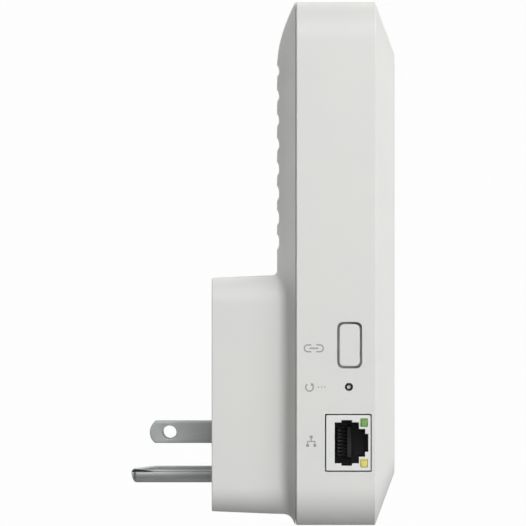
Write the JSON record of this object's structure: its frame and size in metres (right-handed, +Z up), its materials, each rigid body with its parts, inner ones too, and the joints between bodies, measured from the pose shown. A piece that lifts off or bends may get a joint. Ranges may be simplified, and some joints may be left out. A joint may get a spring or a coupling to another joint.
{
  "type": "plug-in wireless range extender",
  "caption": "Slim upright plug-in wireless repeater: faceted front shell, grooved curved back, plug box with three prongs, oblong side button, pinhole reset and network jack.",
  "frame": {"origin": "on the wall face of the plug box, midway between the two line blades", "axes": "+Z up along the housing's height, +Y from the wall face into the wall along the prongs, +X away from the side that holds the button and the network jack; the front faces -Y"},
  "size_m": [0.081, 0.0781, 0.1537],
  "materials": {
    "housing_white": "fine satin-textured moulded plastic, off-white",
    "button_white": "satin moulded plastic, off-white",
    "jack_white": "smooth moulded plastic, white",
    "prong_nickel": "nickel-plated brass, fine drawn grain",
    "contact_gold": "gold-plated spring wire",
    "window_green": "tinted translucent plastic, green",
    "window_yellow": "tinted translucent plastic, yellow",
    "board_green": "glass-fibre circuit board with green solder mask",
    "antenna_board": "thin circuit board with green solder mask",
    "switch_black": "moulded black plastic",
    "plunger_white": "moulded white plastic",
    "tinned_steel": "tin-plated sheet steel",
    "screw_steel": "zinc-plated steel",
    "sink_aluminium": "extruded bare aluminium",
    "ferrite": "sintered ferrite, dark grey",
    "winding_tape": "polyester winding tape, amber",
    "capacitor_sleeve": "shrink sleeve, dark blue",
    "carrier_black": "moulded black flame-retardant plastic",
    "film_box": "moulded box of a film capacitor, ochre",
    "fuse_ceramic": "glazed ceramic tube",
    "insulating_film": "thin insulating sheet, off-white",
    "thermal_pad_grey": "soft silicone pad, grey-blue",
    "light_guide_clear": "clear moulded acrylic",
    "led_package": "small surface-mount light package",
    "lead_black": "black insulated lead",
    "legend_grey": "light grey printed pictograms on the side face"
  },
  "bodies": {
    "extender": {"antenna_lead_left": "lead_black", "antenna_lead_right": "lead_black", "antenna_lead_top_left": "lead_black", "antenna_lead_top_right": "lead_black", "antenna_left": "antenna_board", "antenna_right": "antenna_board", "antenna_top_left": "antenna_board", "antenna_top_right": "antenna_board", "back_cover": "housing_white", "blade_carrier": "carrier_black", "board_screw_1": "screw_steel", "board_screw_2": "screw_steel", "board_screw_3": "screw_steel", "board_screw_4": "screw_steel", "bridge_rectifier": "switch_black", "bulk_capacitor_1": "capacitor_sleeve", "bulk_capacitor_2": "capacitor_sleeve", "front_cover": "housing_white", "fuse": "fuse_ceramic", "ground_pin": "prong_nickel", "heat_sink": "sink_aluminium", "insulating_sheet": "insulating_film", "jack_contact_1": "contact_gold", "jack_contact_2": "contact_gold", "jack_contact_3": "contact_gold", "jack_contact_4": "contact_gold", "jack_contact_5": "contact_gold", "jack_contact_6": "contact_gold", "jack_contact_7": "contact_gold", "jack_contact_8": "contact_gold", "jack_housing": "jack_white", "jack_light_green": "window_green", "jack_light_yellow": "window_yellow", "line_blade_live": "prong_nickel", "line_blade_neutral": "prong_nickel", "line_capacitor": "film_box", "line_choke": "ferrite", "main_board": "board_green", "output_capacitor": "capacitor_sleeve", "pair_switch_body": "switch_black", "pair_switch_bracket": "tinned_steel", "power_board": "board_green", "power_connector": "plunger_white", "power_lead": "lead_black", "processor_shield": "tinned_steel", "radio_shield": "tinned_steel", "reset_switch_body": "switch_black", "reset_switch_bracket": "tinned_steel", "status_led_1": "led_package", "status_led_2": "led_package", "status_led_3": "led_package", "status_led_4": "led_package", "status_light_guide": "light_guide_clear", "thermal_pad": "thermal_pad_grey", "transformer_coil": "winding_tape", "transformer_core": "ferrite"},
    "pair_button": {"pair_button": "button_white"},
    "pair_plunger": {"pair_switch_plunger": "plunger_white"},
    "reset_plunger": {"reset_switch_plunger": "plunger_white"}
  },
  "joints": [
    {"name": "pair_button_press", "type": "slide", "parent": "extender", "child": "pair_button", "axis": [1, 0, 0], "range_m": [0, 0.0005], "stiffness_N_per_m": 2000, "springref_m": -0.0003},
    {"name": "pair_plunger_press", "type": "slide", "parent": "extender", "child": "pair_plunger", "axis": [1, 0, 0], "range_m": [0, 0.0005]},
    {"name": "reset_press", "type": "slide", "parent": "extender", "child": "reset_plunger", "axis": [1, 0, 0], "range_m": [0, 0.0003], "stiffness_N_per_m": 4000, "springref_m": -0.0002}
  ],
  "couplings": [
    {"joint": "pair_plunger_press", "follows": "pair_button_press", "ratio": 1}
  ]
}
